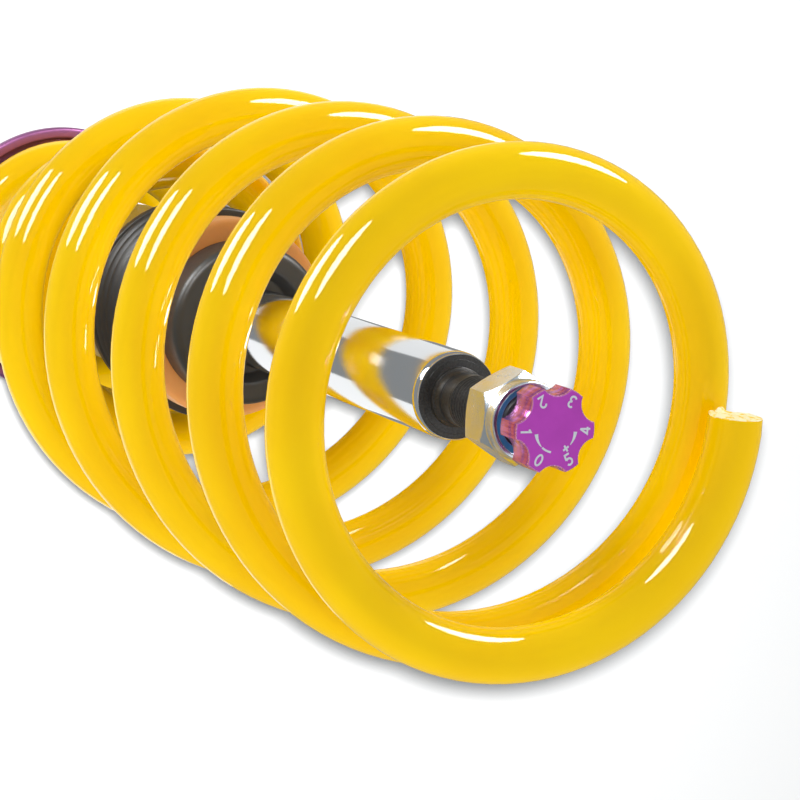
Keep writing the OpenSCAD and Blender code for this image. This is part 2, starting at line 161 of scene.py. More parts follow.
class Finish:
    """A node material being built: its shader, its nodes and a few shortcuts."""

    def __init__(self, name, colour, roughness, metallic=0.0, **constants):
        self.material = bpy.data.materials.new(name)
        self.material.use_nodes = True
        self.tree = self.material.node_tree
        self.shader = self.tree.nodes["Principled BSDF"]
        self.set("Base Color", (*colour, 1))
        self.set("Roughness", roughness)
        self.set("Metallic", metallic)
        for key, value in constants.items():
            self.set(key.replace("_", " "), value)
        self.place = self.tree.nodes.new("ShaderNodeTexCoord").outputs["Object"]

    def set(self, socket, value):
        self.shader.inputs[socket].default_value = value

    def node(self, kind, **inputs):
        made = self.tree.nodes.new(kind)
        for key, value in inputs.items():
            self.feed(made, key, value)
        return made

    def feed(self, node, key, value):
        socket = node.inputs[key.replace("_", " ")]
        if isinstance(value, bpy.types.NodeSocket):
            self.tree.links.new(value, socket)
        else:
            socket.default_value = value

    def link(self, output, socket):
        self.tree.links.new(output, self.shader.inputs[socket])

    def stretched(self, scale):
        """Object coordinates scaled along each axis."""
        mapping = self.node("ShaderNodeMapping", Vector=self.place, Scale=scale)
        return mapping.outputs["Vector"]

    def noise(self, scale, detail=4, rough=0.5, place=None):
        made = self.node("ShaderNodeTexNoise", Vector=place or self.place, Scale=scale, Detail=detail,
                         Roughness=rough)
        return made.outputs["Fac"]

    def ramp(self, value, stops):
        """A colour ramp: stops are (position, grey or colour)."""
        made = self.tree.nodes.new("ShaderNodeValToRGB")
        elements = made.color_ramp.elements
        while len(elements) < len(stops):
            elements.new(0.5)
        for element, (at, colour) in zip(elements, stops):
            element.position = at
            grey = isinstance(colour, (int, float))
            element.color = (colour, colour, colour, 1) if grey else (*colour, 1)
        self.tree.links.new(value, made.inputs["Fac"])
        return made.outputs["Color"]

    def between(self, value, low, high):
        """A number that goes from low to high as value goes from 0 to 1."""
        made = self.node("ShaderNodeMapRange", Value=value, To_Min=low, To_Max=high)
        return made.outputs["Result"]

    def mix(self, factor, a, b):
        made = self.tree.nodes.new("ShaderNodeMix")
        made.data_type = "RGBA"
        for key, value in ((0, factor), (6, a), (7, b)):
            if isinstance(value, bpy.types.NodeSocket):
                self.tree.links.new(value, made.inputs[key])
            else:
                made.inputs[key].default_value = value if key == 0 else (*value, 1)
        return made.outputs[2]

    def bump(self, height, distance, strength):
        """Gives the shader a bump from a height pattern, over a distance in metres."""
        made = self.node("ShaderNodeBump", Height=height, Distance=distance, Strength=strength)
        self.link(made.outputs["Normal"], "Normal")


# ---------------------------------------------------------------- finishes

def spring_paint():
    f = Finish("yellow_powder_coat", (1.0, 0.6, 0.0), 0.2, Coat_Weight=1.0, Coat_Roughness=0.03,
               Coat_IOR=1.4, Specular_IOR_Level=0.0)
    cloud = f.ramp(f.noise(28, 3), [(0.3, 0.0), (0.7, 1.0)])
    f.link(f.mix(cloud, (0.95, 0.56, 0.0), (1.0, 0.64, 0.0)), "Base Color")
    f.link(f.between(f.noise(220, 2), 0.16, 0.26), "Roughness")
    f.bump(f.noise(900, 2), 0.00002, 0.35)
    return f.material


def cut_end():
    f = Finish("painted_cut_end", (0.9, 0.62, 0.1), 0.45)
    patches = f.ramp(f.noise(380, 5, 0.65), [(0.5, 0.0), (0.56, 1.0)])
    f.link(f.mix(patches, (0.92, 0.84, 0.5), (1.0, 0.62, 0.0)), "Base Color")
    f.bump(f.noise(700, 5), 0.0004, 0.8)
    return f.material


def chrome():
    f = Finish("hard_chrome", (0.78, 0.79, 0.8), 0.05, 1.0)
    turned_lines = f.noise(60, 3, place=f.stretched((1, 1, 260)))
    f.link(f.between(turned_lines, 0.03, 0.1), "Roughness")
    f.bump(turned_lines, 0.000004, 0.3)
    return f.material


def polished_tube_painted_shade():
    # Its base colour is darker than polished steel: painted shade, for the shade the tube stands in inside
    # the spring.
    f = Finish("polished_tube_painted_shade", (0.36, 0.36, 0.34), 0.24, 1.0)
    lines = f.noise(50, 3, place=f.stretched((1, 1, 160)))
    f.link(f.between(lines, 0.2, 0.3), "Roughness")
    f.bump(lines, 0.000006, 0.3)
    return f.material


def black_phosphate():
    f = Finish("black_phosphate", (0.03, 0.03, 0.032), 0.38, 0.3)
    lines = f.noise(40, 2, place=f.stretched((60, 60, 60)))
    f.link(f.ramp(lines, [(0.3, (0.022, 0.022, 0.024)), (0.7, (0.05, 0.05, 0.052))]), "Base Color")
    f.bump(f.noise(1500, 3), 0.00002, 0.4)
    return f.material


def zinc():
    f = Finish("bright_zinc", (0.78, 0.78, 0.74), 0.22, 1.0)
    tint = f.ramp(f.noise(90, 4, 0.6), [(0.4, (0.66, 0.73, 0.8)), (0.6, (0.76, 0.79, 0.8)),
                                       (0.78, (0.78, 0.7, 0.5))])
    f.link(tint, "Base Color")
    f.link(f.between(f.noise(260, 3), 0.14, 0.34), "Roughness")
    f.bump(f.noise(500, 3), 0.00003, 0.4)
    return f.material


def plated_steel(name="plated_steel", colour=(0.5, 0.51, 0.53)):
    f = Finish(name, colour, 0.3, 1.0)
    cloud = f.noise(45, 4)
    dark = tuple(c * 0.75 for c in colour)
    f.link(f.mix(cloud, dark, colour), "Base Color")
    f.link(f.between(f.noise(180, 3), 0.2, 0.42), "Roughness")
    return f.material


def anodised(name, colour, rough, grain=1400):
    f = Finish(name, colour, rough, 0.85)
    light = tuple(min(1.0, c * 1.15) for c in colour)
    dark = tuple(c * 0.86 for c in colour)
    f.link(f.mix(f.noise(140, 3), dark, light), "Base Color")
    f.link(f.between(f.noise(grain, 2), rough - 0.06, rough + 0.08), "Roughness")
    f.bump(f.noise(grain, 2), 0.000012, 0.5)
    return f.material


def machined_purple():
    f = Finish("knob_machined", (0.5, 0.12, 0.46), 0.22, 0.85)
    streaks = f.noise(30, 3, place=f.stretched((90, 90, 6)))
    f.link(f.ramp(streaks, [(0.3, (0.38, 0.08, 0.38)), (0.7, (0.66, 0.22, 0.6))]), "Base Color")
    f.bump(streaks, 0.00002, 0.4)
    return f.material


def dial_ink():
    f = Finish("etched_marks", (0.55, 0.6, 0.63), 0.5)
    f.link(f.mix(f.noise(1200, 2), (0.46, 0.5, 0.54), (0.62, 0.67, 0.7)), "Base Color")
    return f.material


def rubber(name, colour, rough, grain=500):
    f = Finish(name, colour, rough)
    light = tuple(c * 1.5 for c in colour)
    f.link(f.mix(f.noise(60, 4), colour, light), "Base Color")
    f.link(f.between(f.noise(160, 3), rough - 0.08, rough + 0.1), "Roughness")
    f.bump(f.noise(grain, 3), 0.00006, 0.5)
    return f.material


def urethane():
    f = Finish("orange_urethane", (0.74, 0.33, 0.1), 0.42, Subsurface_Weight=0.1)
    f.link(f.mix(f.noise(70, 4), (0.68, 0.29, 0.08), (0.8, 0.37, 0.12)), "Base Color")
    f.link(f.between(f.noise(200, 3), 0.34, 0.5), "Roughness")
    f.bump(f.noise(600, 3), 0.00004, 0.4)
    return f.material


def black_coat():
    f = Finish("black_powder_coat", (0.03, 0.03, 0.032), 0.4)
    f.link(f.mix(f.noise(50, 3), (0.022, 0.022, 0.024), (0.045, 0.045, 0.048)), "Base Color")
    f.link(f.between(f.noise(250, 3), 0.32, 0.48), "Roughness")
    f.bump(f.noise(1100, 2), 0.00004, 0.5)
    return f.material


def nylon():
    f = Finish("blue_nylon", (0.02, 0.13, 0.3), 0.4)
    f.link(f.mix(f.noise(400, 3), (0.015, 0.1, 0.24), (0.03, 0.17, 0.36)), "Base Color")
    return f.material


def brass():
    f = Finish("brass", (0.75, 0.58, 0.28), 0.28, 1.0)
    f.link(f.mix(f.noise(80, 3), (0.62, 0.46, 0.2), (0.8, 0.63, 0.33)), "Base Color")
    return f.material


YELLOW = spring_paint()
CUT_END = cut_end()
CHROME = chrome()
BLACK_STEEL = black_phosphate()
ZINC = zinc()
STEEL = plated_steel()
TUBE_BARE = polished_tube_painted_shade()
BRIGHT_STEEL = plated_steel("ground_steel", (0.62, 0.62, 0.64))
SINTERED = plated_steel("sintered_steel", (0.3, 0.29, 0.28))
KNOB_FACE = anodised("knob_anodised", (0.4, 0.055, 0.4), 0.42)
KNOB_SIDE = machined_purple()
KNOB_EDGE = anodised("knob_polished_edge", (0.75, 0.3, 0.62), 0.25)
PERCH_PURPLE = anodised("perch_anodised", (0.3, 0.11, 0.25), 0.42, 900)
MARKS = dial_ink()
BLACK_RUBBER = rubber("black_rubber", (0.02, 0.02, 0.02), 0.6)
BOOT_RUBBER = rubber("boot_rubber", (0.02, 0.02, 0.021), 0.42)
BUMP_RUBBER = rubber("bump_stop_rubber", (0.02, 0.02, 0.02), 0.4, 900)
ORANGE = urethane()
BLACK_COAT = black_coat()
NYLON = nylon()
BRASS = brass()
BEARING_PLASTIC = rubber("bearing_plastic", (0.12, 0.1, 0.08), 0.45)

SLOT_FINISH = {
    "tube_steel": STEEL, "black_steel": BLACK_COAT, "bright_steel": BRIGHT_STEEL,
    "sintered_steel": SINTERED, "bearing_plastic": BEARING_PLASTIC, "black_rubber": BLACK_RUBBER,
    "boot_rubber": BOOT_RUBBER, "orange_urethane": ORANGE, "black_urethane": BUMP_RUBBER,
    "rod_chrome": CHROME, "zinc_steel": ZINC, "blue_nylon": NYLON, "brass": BRASS,
    "knob_anodised": KNOB_FACE, "perch_anodised": PERCH_PURPLE, "screw_steel": BLACK_STEEL,
    "spring_yellow": YELLOW,
}


def dress_cad_nodes():
    """Gives every carried-over CAD node the finish of its slot."""
    for part in frame["record"]["subparts"]:
        node = frame["nodes"][part["node"]]
        node.data.materials.clear()
        node.data.materials.append(SLOT_FINISH[part["material_slot"]])


# ---------------------------------------------------------------- spring

WIRE_R = 6.15
END_COIL_Z = PAD[1].z / MM + WIRE_R
END_COIL_R = 30
# Turns from the top end, height and coil radius of the wire's centre line, as in the CAD spring
COIL = [
    (0, 31, 52.8), (0.5, 27.2, 50.9), (0.85, 20.4, 52.6), (1.2, 6.3, 53.7),
    (1.5, -8.3, 54.2), (2.5, -55, 54.5), (3.5, -102.2, 54.6), (4, -127, 54.4),
    (4.25, -140.5, 52.9), (4.5, -154, 50.3), (4.75, -165, 48.8), (4.95, -171.5, 46),
    (5.16, -175.5, 39.4), (5.4, -177.5, 36), (5.7, -178.6, 35.3), (5.85, -180.5, 36.8),
    (6.6, -215, 33.5), (7.1, -239, 31.6), (7.5, END_COIL_Z + 2.75, END_COIL_R + 0.2),
    (7.8, END_COIL_Z + 0.45, END_COIL_R), (8.15, END_COIL_Z, END_COIL_R),
]
COIL_TURNS = COIL[-1][0]
SMALL_TURN = 0.002  # the step along the wire that gives its direction


def coil_slope(k, c):
    """Slope of column c of the coil's rows at row k."""
    def rise(i):
        return (COIL[i + 1][c] - COIL[i][c]) / (COIL[i + 1][0] - COIL[i][0])
    if k == 0:
        return rise(0)
    if k == len(COIL) - 1:
        return rise(k - 1)
    before, after = COIL[k][0] - COIL[k - 1][0], COIL[k + 1][0] - COIL[k][0]
    return (rise(k - 1) * after + rise(k) * before) / (before + after)


def coil_value(t, c):
    """Column c of the coil's rows at turn t, on a smooth curve through them."""
    k = max(i for i in range(len(COIL) - 1) if COIL[i][0] <= t or i == 0)
    h = COIL[k + 1][0] - COIL[k][0]
    s = (t - COIL[k][0]) / h
    return ((2 * s ** 3 - 3 * s ** 2 + 1) * COIL[k][c] + (s ** 3 - 2 * s ** 2 + s) * h * coil_slope(k, c)
            + (3 * s ** 2 - 2 * s ** 3) * COIL[k + 1][c] + (s ** 3 - s ** 2) * h * coil_slope(k + 1, c))


def coil_point(t):
    """The wire's centre line at turn t."""
    r, a = coil_value(t, 2), -TAU * t
    return Vector((r * math.cos(a), r * math.sin(a), coil_value(t, 1)))


def wire_ring(t, radius, sides, shift=0.0):
    """Points around the wire at turn t. shift moves the ring along the wire, in millimetres."""
    ahead, behind = coil_point(min(t + SMALL_TURN, COIL_TURNS)), coil_point(max(t - SMALL_TURN, 0))
    along = (ahead - behind).normalized()
    out = Vector((math.cos(TAU * t), -math.sin(TAU * t), 0))
    out = (out - along * out.dot(along)).normalized()
    up = along.cross(out)
    centre = coil_point(t) + along * shift
    return [(centre + radius * (math.cos(TAU * k / sides) * out + math.sin(TAU * k / sides) * up)) * MM
            for k in range(sides)]


def burr(radius, angle):
    """Height in millimetres of the sheared face at a point of the wire's top end."""
    x, y = radius * math.cos(angle), radius * math.sin(angle)
    roughness, grain = 0.3, 0.7
    height = roughness * noise.noise(Vector((x * grain, y * grain, 3)))
    lumps = [(1.1, -0.4, -5.7, 1.4, 0.6), (0.7, -4.4, -3, 3, 3)]  # height, x, y, spread in x, spread in y
    for high, at_x, at_y, spread_x, spread_y in lumps:
        height += high * math.exp(-((x - at_x) ** 2 / spread_x + (y - at_y) ** 2 / spread_y))
    return height


def cut_ring(radius, sides, shift=0.0):
    """A ring of the wire's top end, raised by its burr."""
    outward = (coil_point(0) - coil_point(SMALL_TURN)).normalized() * MM
    ring = wire_ring(0, radius, sides, shift)
    return [p + outward * burr(radius, TAU * k / sides) for k, p in enumerate(ring)]


def make_spring():
    """The wire: a sheared top end with a burr, the wound length and a plain lower end."""
    sides, per_turn = 40, 96
    edge, top_rows, low_rows = 0.5, 12, 6
    chamfer = edge * 0.3
    count = round(COIL_TURNS * per_turn)
    top = [cut_ring((WIRE_R - edge) * k / top_rows, sides) for k in range(1, top_rows + 1)]
    wound = [cut_ring(WIRE_R - chamfer, sides, chamfer)]
    wound += [wire_ring(i * COIL_TURNS / count, WIRE_R, sides) for i in range(1, count)]
    wound.append(wire_ring(COIL_TURNS, WIRE_R - chamfer, sides, -chamfer))
    low = [wire_ring(COIL_TURNS, (WIRE_R - edge) * k / low_rows, sides) for k in range(low_rows, 0, -1)]
    painted, bare = 0, 1
    slots = [bare] * len(top) + [painted] * len(wound) + [bare] * len(low)
    mesh = skin("spring_wire", top + wound + low, sharp_degrees=40, slots=slots)
    return new_piece("spring_wire", mesh, "perch", [YELLOW, CUT_END], ["spring"])


# ---------------------------------------------------------------- turned pieces

def make_turned(name, outline, body, material, segments=128):
    """A solid of revolution in place of the CAD node of that name. Its outline doesn't touch the axis."""
    mesh = skin(name, [circle(r, z, segments) for r, z in outline], closed=True)
    new_piece(name + "_shape", mesh, body, material, [name])


def bellows(r_root, r_crest, z_low, z_high, ribs, steps=8):
    """Outline points of rounded ribs from z_low up to z_high."""
    points = []
    for i in range(ribs * steps + 1):
        wave = 0.5 - 0.5 * math.cos(TAU * i / steps)
        r = r_root + (r_crest - r_root) * wave ** 0.8
        points.append(Vector((r, z_low + (z_high - z_low) * i / ribs / steps)))
    return points


def make_boot():
    low, high, crest = BOOT[0].z / MM, BOOT[1].z / MM, radius_of(BOOT) / MM
    inner, rim, rib_depth, pitch, groove = radius_of(TUBE) / MM, 3, 2.2, 4.2, 0.4
    root, ribs_low = crest - rib_depth, low + rim + groove
    ribs = math.floor((high - low - 2 * rim) / pitch)
    outline = fillet([(inner, low), (crest, low, 0.8), (crest, low + rim, 0.4), (root, ribs_low)], 4)
    outline += bellows(root, crest, ribs_low, low + rim + ribs * pitch, ribs)
    outline += fillet([(crest - 0.4, high - rim + 1), (crest, high - rim + 1.6, 0.4), (crest, high, 1.2),
                       (inner, high)], 4)
    make_turned("dust_boot", outline, "housing", BOOT_RUBBER)


def make_boot_ring():
    low, high, edge = RING[0].z / MM, RING[1].z / MM, radius_of(RING) / MM
    bore = 18
    outline = fillet([(bore, low), (edge, low, 0.8), (edge, high, 2), (bore, high)], 8)
    make_turned("boot_ring", outline, "housing", ORANGE)


def make_bump_stop():
    """A dome with a dished top, on a spigot that goes down through the boot ring."""
    low, high, edge = BUMP[0].z / MM, BUMP[1].z / MM, radius_of(BUMP) / MM
    bore, spigot, seat = 10.3, 18, high - 12
    dish_r, dish_depth = 15, 5
    outline = fillet([
        (bore, low), (spigot, low, 0.4), (spigot, seat), (edge, seat, 1), (edge, high, 5.2),
        (dish_r, high, 1.3), (dish_r - 2, high - dish_depth + 0.4, 1), (bore, high - dish_depth, 0.3),
    ], 8)
    make_turned("bump_stop", outline, "housing", BUMP_RUBBER)


def make_perch():
    """The perch, a dish with a raised rim, and the rubber pad in it."""
    high, edge = PERCH[1].z / MM, radius_of(PERCH) / MM
    low, bore, hub = PERCH[0].z / MM, radius_of(TUBE) / MM + 0.1, 30
    seat, rim_in, neck, flare = high - 3, 36.2, 5, 3
    outline = fillet([
        (bore, low, 0.4), (hub, low, 1.2), (hub, seat - neck, 1), (hub + flare, seat - neck, 1),
        (edge, seat, 0.8), (edge, high, 1.2), (rim_in, high, 0.9), (rim_in, seat, 0.5), (bore, seat, 0.4),
    ])
    make_turned("spring_perch", outline, "perch", PERCH_PURPLE)
    pad_in, pad_out, pad_top = 24, radius_of(PAD) / MM - 2, seat + 1.5
    outline = fillet([(pad_in, seat), (pad_out, seat), (pad_out, pad_top, 0.5), (pad_in, pad_top, 0.5)])
    make_turned("spring_pad", outline, "perch", BLACK_RUBBER)


# ---------------------------------------------------------------- threads

def thread_sheet(z_low, z_high, pitch, ridge, crest, segments):
    """Points and faces of a thread's surface, which fades out at both ends.

    ridge lists (share of the pitch, depth below the crest) across one ridge.
    """
    turns = math.ceil((z_high - z_low) / pitch) + 1
    per_turn, run_out = len(ridge), 0.6 * pitch
    points, faces = [], []
    rows = turns * per_turn
    for row in range(rows + 1):
        turn, j = divmod(row, per_turn)
        share, depth = ridge[j]
        for k in range(segments + 1):
            z = z_low + pitch * (turn - 1 + share + k / segments)
            fade = max(0.0, min(1.0, min(z - z_low, z_high - z) / run_out))
            z = max(z_low, min(z_high, z))
            a = TAU * k / segments
            r = crest - depth * fade
            points.append((r * MM * math.cos(a), r * MM * math.sin(a), z * MM))
    width = segments + 1
    for row in range(rows):
        for k in range(segments):
            i = row * width + k
            faces.append((i, i + 1, i + width + 1, i + width))
    return points, faces


def lathe_sheet(outline, segments):
    """Points and faces of an open surface of revolution."""
    points = [p for r, z in outline for p in circle(r, z, segments)]
    faces = []
    for row in range(len(outline) - 1):
        for k in range(segments):
            t = (k + 1) % segments
            i = row * segments
            faces.append((i + k, i + t, i + segments + t, i + segments + k))
    return points, faces


def weld_sheets(name, sheets):
    """One closed mesh from sheets that meet edge to edge. Each sheet is (points, faces, material index)."""
    sharp_degrees, weld = 30, 0.000002
    mesh = bpy.data.meshes.new(name)
    points, faces, marks = [], [], []
    for sheet_points, sheet_faces, mark in sheets:
        base = len(points)
        points += sheet_points
        faces += [tuple(base + i for i in face) for face in sheet_faces]
        marks += [mark] * len(sheet_faces)
    mesh.from_pydata(points, [], faces)
    mesh.polygons.foreach_set("material_index", marks)
    bm = bmesh.new()
    bm.from_mesh(mesh)
    bmesh.ops.remove_doubles(bm, verts=bm.verts, dist=weld)
    bmesh.ops.dissolve_degenerate(bm, edges=bm.edges, dist=weld)
    bmesh.ops.recalc_face_normals(bm, faces=bm.faces)
    bm.to_mesh(mesh)
    bm.free()
    return smooth(mesh, sharp_degrees)


def make_rod():
    """The hollow rod: chromed shank, black stepped stud with a thread, bore and journal."""
    segments = 96
    radius, top, bottom = radius_of(ROD) / MM, ROD[1].z / MM, ROD[0].z / MM
    bore, tip_bore, tip_length, face_r = 3.5, 1.6, 8, 9.5
    journal_r, journal_top = 6, -215
    stud, thread_low, thread_high, pitch, depth = 6, 8, top - 1, 1.25, 0.72
    ridge = [(0, 0.06), (0.07, 0), (0.19, 0), (0.5, depth), (0.62, depth), (0.93, 0.1)]
    shank = [(journal_r, journal_top), (radius - 0.6, journal_top), (radius, journal_top + 0.6),
             (radius, -2.1), (radius - 0.02, -1.9), (radius - 0.24, -0.3), (radius - 0.34, -0.08),
             (face_r, 0)]
    steps = [(face_r, 0)] + fillet([
        (8.4, 0, 0.05), (8.3, 0.12, 0.05), (6.7, 0.12, 0.15), (6.7, 1.2, 0.25), (6.2, 1.45, 0.1),
        (5.7, 2.6, 0.4), (5.7, 3.4, 0.3), (stud, 4.2, 0.1), (stud, thread_low)], 4)
    tip = [(stud, thread_high), (5.2, top - 0.1), (5.1, top), (bore + 0.3, top), (bore, top - 0.3)]
    inside = [(bore, top - 0.3), (bore, bottom + tip_length), (tip_bore, bottom + tip_length),
              (tip_bore, bottom)]
    journal = [(tip_bore, bottom), (5.2, bottom), (journal_r, bottom + 0.8), (journal_r, journal_top)]
    chrome_mark, black_mark, steel_mark = range(3)
    sheets = [(*lathe_sheet(shank, segments), chrome_mark), (*lathe_sheet(steps, segments), black_mark),
              (*thread_sheet(thread_low, thread_high, pitch, ridge, stud, segments), black_mark),
              (*lathe_sheet(tip, segments), black_mark), (*lathe_sheet(inside, segments), steel_mark),
              (*lathe_sheet(journal, segments), steel_mark)]
    finishes = [CHROME, BLACK_STEEL, BRIGHT_STEEL]
    new_piece("rod_shape", weld_sheets("rod", sheets), "rod", finishes, ["piston_rod"])


def make_tube():
    """The strut tube: polished above its thread, plain steel below."""
    segments = 128
    radius, top, bottom = radius_of(TUBE) / MM, TUBE[1].z / MM, TUBE[0].z / MM
    bore, chamfer, low_chamfer = 19.25, 0.5, 0.4
    thread_top, thread_bottom, pitch, depth = -208, -345, 2.5, 1.1
    ridge = [(0, 0), (0.3, 0), (0.5, depth), (0.8, depth)]
    upper = [(radius, thread_top), (radius, top - chamfer), (radius - chamfer, top), (bore, top)]
    lower = [(bore, bottom), (radius - low_chamfer, bottom), (radius, bottom + low_chamfer),
             (radius, thread_bottom)]
    steel_mark, bare_mark = range(2)
    sheets = [
        (*lathe_sheet(upper, segments), bare_mark),
        (*lathe_sheet([(bore, top), (bore, bottom)], segments), steel_mark),
        (*lathe_sheet(lower, segments), steel_mark),
        (*thread_sheet(thread_bottom, thread_top, pitch, ridge, radius, segments), steel_mark),
    ]
    return new_piece("tube_shape", weld_sheets("tube", sheets), "housing", [STEEL, TUBE_BARE],
                     ["strut_tube"])


# ---------------------------------------------------------------- pieces with a shaped outline

def turn_about(p, angle):
    """A point turned about the strut's axis."""
    c, s = math.cos(angle), math.sin(angle)
    return Vector((p.x * c - p.y * s, p.x * s + p.y * c))


def inset(loop, distance):
    """A closed loop moved inwards, square to its own edges. most limits how far a corner moves."""
    moved, most = [], 1.6
    for i, p in enumerate(loop):
        before = (p - loop[i - 1]).normalized()
        after = (loop[(i + 1) % len(loop)] - p).normalized()
        normal = Vector((-before.y - after.y, before.x + after.x))
        size = normal.length
        moved.append(p + normal / size * distance * min(most, 2 / size))
    return moved


def knob_loop(inward):
    """The knob's outline: a circle with six round notches, moved inwards by a distance."""
    edge, notch_r, notch_at, lobes, steps = 9.3 - inward, 4.1 + inward, 11.5, 6, 24
    corner = math.acos((edge ** 2 + notch_at ** 2 - notch_r ** 2) / (2 * edge * notch_at))
    first = math.atan2(edge * math.sin(corner), edge * math.cos(corner) - notch_at)
    points = []
    for lobe in range(lobes):
        middle = TAU * (lobe + 0.5) / lobes
        for k in range(steps):  # the notch, as an arc about its own centre
            a = -first - (TAU - 2 * first) * k / (steps - 1)
            local = Vector((notch_at + notch_r * math.cos(a), notch_r * math.sin(a)))
            points.append(turn_about(local, middle))
        for k in range(1, steps):  # the lobe's tip
            a = middle + corner + (TAU / lobes - 2 * corner) * k / steps
            points.append(Vector((edge * math.cos(a), edge * math.sin(a))))
    return points


def make_knob():
    """The knob's body, with a machined side, a polished edge and a finer face, and its dial."""
    low, high = KNOB[0].z / MM, KNOB[1].z / MM - 0.05
    rows = [(0.5, low), (0.32, low), (0.1, low + 0.1), (0, low + 0.32),
            (0, high - 0.3), (0.08, high - 0.09), (0.26, high), (0.5, high)]
    rings = [[Vector((p.x, p.y, z)) * MM for p in knob_loop(inward)] for inward, z in rows]
    side, edge, face = range(3)
    mesh = skin("knob", rings, sharp_degrees=28, slots=[side, side, side, side, edge, edge, face])
    finishes = [KNOB_SIDE, KNOB_EDGE, KNOB_FACE]
    new_piece("knob_shape", mesh, "knob", finishes, ["adjuster_knob"])
    make_marks(high)


def curve_points(centre, radius, start, end, steps):
    """Points along an arc of an ellipse, with radius as (across, up) and angles in degrees."""
    out = []
    for k in range(steps + 1):
        a = math.radians(start + (end - start) * k / steps)
        out.append(Vector((centre[0] + radius[0] * math.cos(a), centre[1] + radius[1] * math.sin(a))))
    return out


def stroke(*points):
    """A stroke with straight runs."""
    return [Vector(p) for p in points]


def glyphs():
    """Strokes of the digits 0 to 5 in a box one unit high, centred, with +Y at the digit's top."""
    two_hook = curve_points((0, 0.22), (0.27, 0.28), 165, -40, 16)
    three_top = curve_points((0, 0.24), (0.25, 0.26), 150, -90, 16)
    three_low = curve_points((0, -0.24), (0.28, 0.26), 90, -150, 18)
    five_low = curve_points((-0.01, -0.2), (0.29, 0.3), 140, -145, 18)
    return [
        [curve_points((0, 0), (0.28, 0.5), 90, 450, 28)],
        [stroke((-0.17, 0.34), (0.06, 0.5), (0.06, -0.5))],
        [two_hook + stroke((-0.27, -0.5), (0.3, -0.5))],
        [three_top, three_low],
        [stroke((0.14, 0.5), (-0.3, -0.22), (0.32, -0.22)), stroke((0.14, -0.5), (0.14, 0.5))],
        [stroke((0.26, 0.5), (-0.2, 0.5), (-0.24, 0.02)), five_low],
    ]


def ribbon(points, half_widths):
    """Left and right edges of a stroke. A mitre grows to twice the half width at most."""
    left, right, least = [], [], 0.5
    closed = (points[0] - points[-1]).length < 1e-6
    for i, p in enumerate(points):
        before = points[i - 1] if i else (points[-2] if closed else p)
        after = points[i + 1] if i + 1 < len(points) else (points[1] if closed else p)
        a = (p - before).normalized() if p != before else (after - p).normalized()
        b = (after - p).normalized() if after != p else a
        normal = Vector((-a.y - b.y, a.x + b.x)).normalized()
        spread = half_widths[i] / max(least, normal.dot(Vector((-b.y, b.x))))
        left.append(p + normal * spread)
        right.append(p - normal * spread)
    return left, right


def make_marks(face_z):
    """Numbers, signs and turning arrows etched in the knob's face, as thin inlays."""
    digit_r, digit_h, half = 7.0, 2.35, 0.21
    proud, rise, sunk = 0.01, 0.0015, 0.06
    points, faces = [], []
    top = face_z + proud

    def add(strip, half_widths):
        # each stroke stands a little higher than the one before it, so that crossings stay clean
        nonlocal top
        top, base = top + rise, face_z - sunk
        left, right = ribbon(strip, half_widths)
        first = len(points)
        for a, b in zip(left, right):
            points.extend([(a.x, a.y, top), (b.x, b.y, top), (a.x, a.y, base), (b.x, b.y, base)])
        for i in range(len(left) - 1):
            q = first + 4 * i
            faces.extend([(q, q + 1, q + 5, q + 4), (q + 2, q + 6, q + 7, q + 3),
                          (q, q + 4, q + 6, q + 2), (q + 1, q + 3, q + 7, q + 5)])
        last = first + 4 * (len(left) - 1)
        faces.extend([(first, first + 2, first + 3, first + 1), (last, last + 1, last + 3, last + 2)])

    dial = {4: 0, 3: 60, 2: 120, 1: 180, 0: 240, 5: 300}  # each digit's place round the face, in degrees
    middle = Vector((digit_r, 0))
    for digit, angle in dial.items():
        for line in glyphs()[digit]:
            # a digit's top points to the knob's centre
            upright = [middle + turn_about(p * digit_h, math.pi / 2) for p in line]
            add([turn_about(p, math.radians(angle)) for p in upright], [half] * len(line))

    steps = 16

    def arc(radius, start, end):
        return curve_points((0, 0), (radius, radius), start, end, steps)

    minus_r, plus_r, plus_reach, plus_angle = 4.5, 4.6, 0.75, -54
    add(arc(minus_r, -130, -100), [half] * (steps + 1))
    plus = turn_about(Vector((plus_r, 0)), math.radians(plus_angle))
    for angle in (plus_angle, plus_angle + 90):
        reach = turn_about(Vector((plus_reach, 0)), math.radians(angle))
        add([plus - reach, plus + reach], [half] * 2)
    arrow_half, arrow_loss = 0.42, 0.34
    taper = [arrow_half - arrow_loss * k / steps for k in range(steps + 1)]
    for radius, start, end in ((4.5, -172, -133), (4.7, -3, -39)):
        add(arc(radius, start, end), taper)

    mesh = bpy.data.meshes.new("dial_marks")
    mesh.from_pydata([Vector(p) * MM for p in points], [], faces)
    bm = bmesh.new()
    bm.from_mesh(mesh)
    bmesh.ops.recalc_face_normals(bm, faces=bm.faces)
    bm.to_mesh(mesh)
    bm.free()
    new_piece("dial_marks", mesh, "knob", MARKS)


